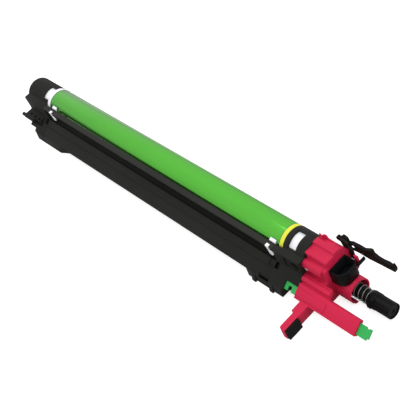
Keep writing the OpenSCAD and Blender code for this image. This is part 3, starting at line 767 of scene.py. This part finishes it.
@dataclass
class FrontEnd(SubAssembly):
    """The crimson cover with its cup, collar, pad, screw and bracket."""

    body: str = "frame"
    kept: dict[str, Finish] = field(default_factory=lambda: {"lever_bracket": Finish.CASING})
    cover_edge: float = 0.35 * MM
    cup_edge: float = 0.35 * MM
    cup_wall: float = 1.25 * MM
    cup_depth: float = 13.6 * MM
    cup_level: float = 0.2 * MM
    cup_corners: Pair = (8.6 * MM, 4.6 * MM)
    cup_rings: int = 9
    cup_inset: Triple = (2.4 * MM, 2.0 * MM, 1.4 * MM)
    plate: Triple = (2.0 * MM, 9.0 * MM, 3.2 * MM)
    plate_reach: float = 7 * MM
    plate_inset: float = 0.3 * MM
    plate_rise: float = 10.2 * MM
    collar_x: Pair = (400 * MM, 424 * MM)
    collar_r: Pair = (10.5 * MM, 11.66 * MM)
    collar_turn: Pair = (130.0, 219.0)
    collar_steps: int = 18
    screw_r: float = 1.55 * MM
    screw_sides: int = 40
    screw_edge: float = 0.22 * MM
    recess: Triple = (1.7 * MM, 1.1 * MM, 0.42 * MM)
    recess_turns: Pair = (20.0, 110.0)
    pad_cuts: int = 7
    pad_edge: float = 0.9 * MM
    pad_crown: float = 0.35 * MM
    pad_middle: float = 0.2
    pad_spread: float = 0.5

    def make_pieces(self) -> None:
        """Make the cover, the cup, the collar's wall, the screw and the foam pad."""
        self.soften("front_cover", Finish.CRIMSON, self.cover_edge)
        self.make_cup()
        self.make_collar_wall()
        self.make_screw()
        self.make_pad()

    def make_cup(self) -> None:
        """Hollow a block with one large and one small corner, paint shade inside it, and join its
        side plate to it.
        """
        low, high = (Vector(corner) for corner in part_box("shaft_cup"))
        short_x, short_low, short_high = self.cup_inset
        front_x, near_y = high.x - short_x, low.y + short_low
        far_y = high.y - self.plate_reach - short_high
        size = Vector((front_x - low.x, far_y - near_y, high.z - low.z))
        middle = Vector((low.x, near_y, low.z)) + size / 2
        cup = primitive("cube", "shaft_cup_moulded", size=1, location=middle, scale=size)
        settle(cup)
        for side_y, radius in zip((near_y, far_y), self.cup_corners):
            edit_edges(cup, lambda *ends: all(
                abs(end.x - front_x) < SAME and abs(end.y - side_y) < SAME for end in ends
            ))
            bpy.ops.mesh.bevel(offset=radius, segments=self.cup_rings, affect="EDGES")
            bpy.ops.object.mode_set(mode="OBJECT")
        edit_faces(cup, lambda place, normal: normal.z > FACING)
        bpy.ops.mesh.inset(thickness=self.cup_wall, depth=0)
        bpy.ops.mesh.extrude_region_move(
            TRANSFORM_OT_translate={"value": (0, 0, -self.cup_depth)}
        )
        bpy.ops.object.mode_set(mode="OBJECT")
        # the inside faces get painted shade: a duller bluish black for the shade in the hollow
        for finish in (Finish.GLOSS, Finish.PIT):
            cup.data.materials.append(finish.material())
        hollow = (high.z - self.cup_depth / 2, high.z - self.cup_depth)
        for face in cup.data.polygons:
            inside = any(abs(face.center.z - level) < self.cup_level for level in hollow)
            face.material_index = int(inside)
        round_edges(cup, self.cup_edge, angle=46.0)
        wide, deep, _ = self.plate
        plate_x = front_x - wide / 2 - self.plate_inset
        plate = primitive(
            "cube", "shaft_cup_plate", size=1, scale=self.plate,
            location=(plate_x, high.y - deep / 2, low.z + self.plate_rise),
        )
        settle(plate)
        plate.data.materials.append(Finish.GLOSS.material())
        round_edges(plate, self.cup_edge)
        select_only(cup)
        plate.select_set(True)
        bpy.ops.object.join()
        smooth(cup, 35.0)
        self.adopt(cup, Finish.GLOSS, "shaft_cup")
        cup.material_slots[1].material = Finish.PIT.material()

    def make_collar_wall(self) -> None:
        """Lead the pipe's collar on round its near side, as one curved wall."""
        (x0, x1), (inner, outer), (start, stop) = self.collar_x, self.collar_r, self.collar_turn
        pipe = [(low + high) / 2 for low, high in zip(*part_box("waste_pipe"))]
        turn, middle_r = math.radians(start), (inner + outer) / 2
        start_y, start_z = middle_r * math.cos(turn), middle_r * math.sin(turn)
        wall = primitive(
            "plane", "collar_wall", size=1, rotation=(turn, 0, 0),
            location=((x0 + x1) / 2, pipe[1] + start_y, pipe[2] + start_z),
        )
        wall.scale = (x1 - x0, outer - inner, 1)
        settle(wall)
        edit_faces(wall)
        bpy.ops.mesh.spin(
            steps=self.collar_steps, angle=math.radians(stop - start), center=(x0, *pipe[1:]),
            axis=(-1, 0, 0),
        )
        bpy.ops.mesh.select_all(action="SELECT")
        bpy.ops.mesh.remove_doubles(threshold=SAME)
        bpy.ops.mesh.normals_make_consistent(inside=False)
        bpy.ops.object.mode_set(mode="OBJECT")
        round_edges(wall, self.cover_edge, angle=46.0)
        smooth(wall, 35.0)
        self.adopt(wall, Finish.CRIMSON)

    def make_screw(self) -> None:
        """Turn a screw head with a rounded rim and a crossed recess."""
        low, high = (Vector(corner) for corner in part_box("cover_screw"))
        middle = (low + high) / 2
        head = primitive(
            "cylinder", "cover_screw_head", vertices=self.screw_sides, radius=self.screw_r,
            depth=high.y - low.y, location=middle, rotation=(math.radians(90), 0, 0),
        )
        settle(head)
        round_edges(head, self.screw_edge, 3)
        for turn in self.recess_turns:
            cutter = primitive(
                "cube", "recess_cutter", size=1, location=(middle.x, low.y, middle.z),
                rotation=(0, math.radians(turn), 0), scale=self.recess,
            )
            settle(cutter)
            apply_modifier(
                head, "BOOLEAN", operation="DIFFERENCE", solver="EXACT", object=cutter
            )
            bpy.data.objects.remove(cutter)
        smooth(head, 30.0)
        self.adopt(head, Finish.SCREW, "cover_screw")

    def make_pad(self) -> None:
        """Shape the handle's foam pad as a crowned block with soft edges."""
        low, high = (Vector(corner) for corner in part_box("handle_pad"))
        middle, size = (low + high) / 2, high - low
        pad = primitive("cube", "handle_pad_foam", size=1, location=middle, scale=size)
        settle(pad)
        edit_faces(pad)
        bpy.ops.mesh.subdivide(number_cuts=self.pad_cuts)
        smooth(pad, 40.0)
        reach = min(size.y, size.z) * self.pad_middle
        edit_faces(
            pad, lambda place, normal: normal.x > FACING and (place - middle).yz.length < reach
        )
        bpy.ops.transform.translate(
            value=(self.pad_crown, 0, 0), use_proportional_edit=True,
            proportional_edit_falloff="SMOOTH", proportional_size=size.z * self.pad_spread,
            use_proportional_connected=True,
        )
        bpy.ops.object.mode_set(mode="OBJECT")
        round_edges(pad, self.pad_edge, 4, 50.0)
        select_only(pad)
        bpy.ops.object.shade_smooth()
        self.adopt(pad, Finish.FOAM, "handle_pad")


@dataclass
class WasteSpout(SubAssembly):
    """The waste pipe with the spring that holds its sleeve out."""

    body: str = "frame"
    kept: dict[str, Finish] = field(default_factory=lambda: {"waste_pipe": Finish.GLOSS})
    wire_r: float = 0.34 * MM
    wire_sides: int = 12
    turns: int = 5
    turn_steps: int = 36
    weld: float = 0.02 * MM
    closed_pitch: float = 0.9 * MM
    travel: float = 9 * MM

    def make_pieces(self) -> None:
        """Wind the spring: open turns between one closed turn at each end."""
        low, high = (Vector(corner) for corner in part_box("shutter_spring"))
        axis_y, axis_z = (low.y + high.y) / 2, (low.z + high.z) / 2
        coil_r = (high.z - low.z) / 2 - self.wire_r
        start, stop = low.x + self.wire_r, high.x - self.wire_r
        pitch = (stop - start - 2 * self.closed_pitch) / self.turns
        runs = (
            (start, self.closed_pitch, 1), (start + self.closed_pitch, pitch, self.turns),
            (stop - self.closed_pitch, self.closed_pitch, 1),
        )
        coils = [self.wind((x, axis_y, axis_z), coil_r, step, count) for x, step, count in runs]
        select_only(coils[0])
        for coil in coils:
            coil.select_set(True)
        bpy.ops.object.join()
        spring = bpy.context.object
        spring.name = "shutter_spring_coil"
        edit_faces(spring)
        bpy.ops.mesh.remove_doubles(threshold=self.weld)
        bpy.ops.mesh.select_all(action="DESELECT")
        bpy.ops.mesh.select_mode(type="EDGE")
        bpy.ops.mesh.select_non_manifold()
        bpy.ops.mesh.fill_holes(sides=0)
        bpy.ops.mesh.select_all(action="SELECT")
        bpy.ops.mesh.normals_make_consistent(inside=False)
        smooth(spring, 50.0)
        self.adopt(spring, Finish.SPRING, "shutter_spring")
        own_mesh(spring)

    def wind(self, place: Triple, coil_r: float, pitch: float, count: int) -> bpy.types.Object:
        """Wind whole turns of wire about the pipe.

        Args:
            place: The first turn's centre.
            coil_r: The radius to the middle of the wire.
            pitch: The advance of one turn.
            count: The number of turns.

        Returns:
            The open-ended coil.
        """
        coil = primitive(
            "circle", "coil", vertices=self.wire_sides, radius=self.wire_r, location=place,
            rotation=(math.radians(90), 0, 0),
        )
        bpy.ops.object.transform_apply(location=False, rotation=True, scale=True)
        bpy.ops.object.mode_set(mode="EDIT")
        bpy.ops.transform.translate(value=(0, 0, coil_r))
        bpy.ops.object.mode_set(mode="OBJECT")
        apply_modifier(
            coil, "SCREW", axis="X", angle=math.tau, screw_offset=pitch, iterations=count,
            steps=self.turn_steps, render_steps=self.turn_steps,
        )
        settle(coil)
        return coil


@dataclass
class Shutter(SubAssembly):
    """The sleeve over the waste pipe."""

    body: str = "shutter"
    kept: dict[str, Finish] = field(default_factory=dict)
    edge: float = 0.18 * MM

    def make_pieces(self) -> None:
        """Round the sleeve's edges."""
        self.soften("shutter_sleeve", Finish.GLOSS, self.edge)


@dataclass
class Lever(SubAssembly):
    """The lever on the far side."""

    body: str = "lever_arm"
    kept: dict[str, Finish] = field(default_factory=dict)
    edge: float = 0.25 * MM

    def make_pieces(self) -> None:
        """Round the lever's edges."""
        self.soften("lever", Finish.LEVER, self.edge)


@dataclass
class Studio:
    """The floor, the sky, the lamp and the camera at the photograph's angle."""

    camera_place: Triple = (0.82665, -0.2600, 0.6234)
    camera_forward: Triple = (-0.64339, 0.27892, -0.71292)
    camera_up: Triple = (-0.40027, 0.67126, 0.62386)
    lens: float = 82.54
    clip: Pair = (0.01, 50.0)
    floor_size: float = 9.0
    floor_middle: Pair = (0.2, 0.0)
    floor_grey: Colour = (0.50, 0.50, 0.50)
    floor_glow: float = 0.74
    floor_mirrored: float = 0.1
    white: Colour = (1.0, 1.0, 1.0)
    sky: tuple[Pair, ...] = ((0.0, 0.05), (0.01, 0.05), (0.03, 0.68), (0.55, 0.90), (1.0, 1.0))
    sky_strength: float = 1.12
    far_side: Pair = (-0.15, 0.25)
    far_lift: Pair = (0.0, 0.27)
    lamp_place: Triple = (0.55, 0.10, 1.35)
    lamp_aim: Triple = (0.22, 0.0, 0.0)
    lamp_size: float = 1.0
    lamp_power: float = 6.0

    def build(self) -> None:
        """Set up the studio."""
        self.make_camera()
        self.make_floor()
        self.make_world()
        self.make_lamp()
        bpy.context.scene.view_settings.view_transform = "Standard"

    def make_camera(self) -> None:
        """Place the camera where the photograph's straight edges put it."""
        data = bpy.data.cameras.new("camera")
        data.lens = self.lens
        data.clip_start, data.clip_end = self.clip
        camera = bpy.data.objects.new("camera", data)
        forward, up = Vector(self.camera_forward).normalized(), Vector(self.camera_up)
        right = forward.cross(up).normalized()
        up = right.cross(forward)
        turn = Matrix((right, up, -forward)).transposed().to_4x4()
        camera.matrix_world = Matrix.Translation(self.camera_place) @ turn
        bpy.context.scene.collection.objects.link(camera)
        bpy.context.scene.camera = camera

    def make_floor(self) -> None:
        """Lay a pale floor under the feet that the camera sees as white."""
        place = (*self.floor_middle, CAD_BOX[0][2])
        floor = primitive("plane", "floor", size=self.floor_size, location=place)
        g = Graph("pale_floor")
        diffuse = g.node("ShaderNodeBsdfDiffuse", {}, {"Color": self.floor_grey})
        glow = g.node(
            "ShaderNodeEmission", {}, {"Color": self.white, "Strength": self.floor_glow}
        )
        lit = g.node("ShaderNodeAddShader", {}, {0: diffuse, 1: glow})
        seen, glossy, clear = (
            g.node("ShaderNodeLightPath", output=f"Is {kind} Ray")
            for kind in ("Camera", "Glossy", "Transmission")
        )
        share = seen + glossy * self.floor_mirrored + clear
        shown = g.node("ShaderNodeMixShader", {}, {0: share, 1: diffuse, 2: lit})
        g.node("ShaderNodeOutputMaterial", {}, {0: shown})
        floor.data.materials.append(g.owner)

    def make_world(self) -> None:
        """Light the unit from all round, more from above, and show white behind it."""
        g = Graph("studio", "worlds")
        bpy.context.scene.world = g.owner
        limits = dict(enumerate((g.axis("Y", "Generated"), *self.far_side, *self.far_lift)))
        height = g.axis("Z", "Generated") + g.node("ShaderNodeMapRange", {}, limits)
        sky = g.node("ShaderNodeValToRGB", {"stops": self.sky}, {0: height}, "Color")
        seen = g.node("ShaderNodeLightPath", output="Is Camera Ray")
        soft = g.node(
            "ShaderNodeBackground", {}, {"Color": sky, "Strength": self.sky_strength}
        )
        white = g.node("ShaderNodeBackground", {}, {"Color": self.white, "Strength": 1.0})
        shown = g.node("ShaderNodeMixShader", {}, {0: seen, 1: soft, 2: white})
        g.node("ShaderNodeOutputWorld", {}, {0: shown})

    def make_lamp(self) -> None:
        """Add a square soft lamp that faces the unit's middle."""
        data = bpy.data.lights.new("key", "AREA")
        data.size = self.lamp_size
        data.energy = self.lamp_power
        lamp = bpy.data.objects.new("key", data)
        aim = Vector(self.lamp_aim) - Vector(self.lamp_place)
        lamp.location = self.lamp_place
        lamp.rotation_euler = aim.to_track_quat("-Z", "Y").to_euler()
        bpy.context.scene.collection.objects.link(lamp)


def main() -> None:
    """Build the sub-assemblies and the studio in order."""
    logging.basicConfig(level=logging.INFO, format="%(name)s: %(message)s")
    groups = (
        Drum(), Gears(), Auger(), Casing(), Charger(), Cleaner(), FrontEnd(), WasteSpout(),
        Shutter(), Lever(),
    )
    for group in groups:
        group.build()
        LOG.info("built the %s", type(group).__name__)
    Studio().build()


if __name__ == "__main__":
    main()
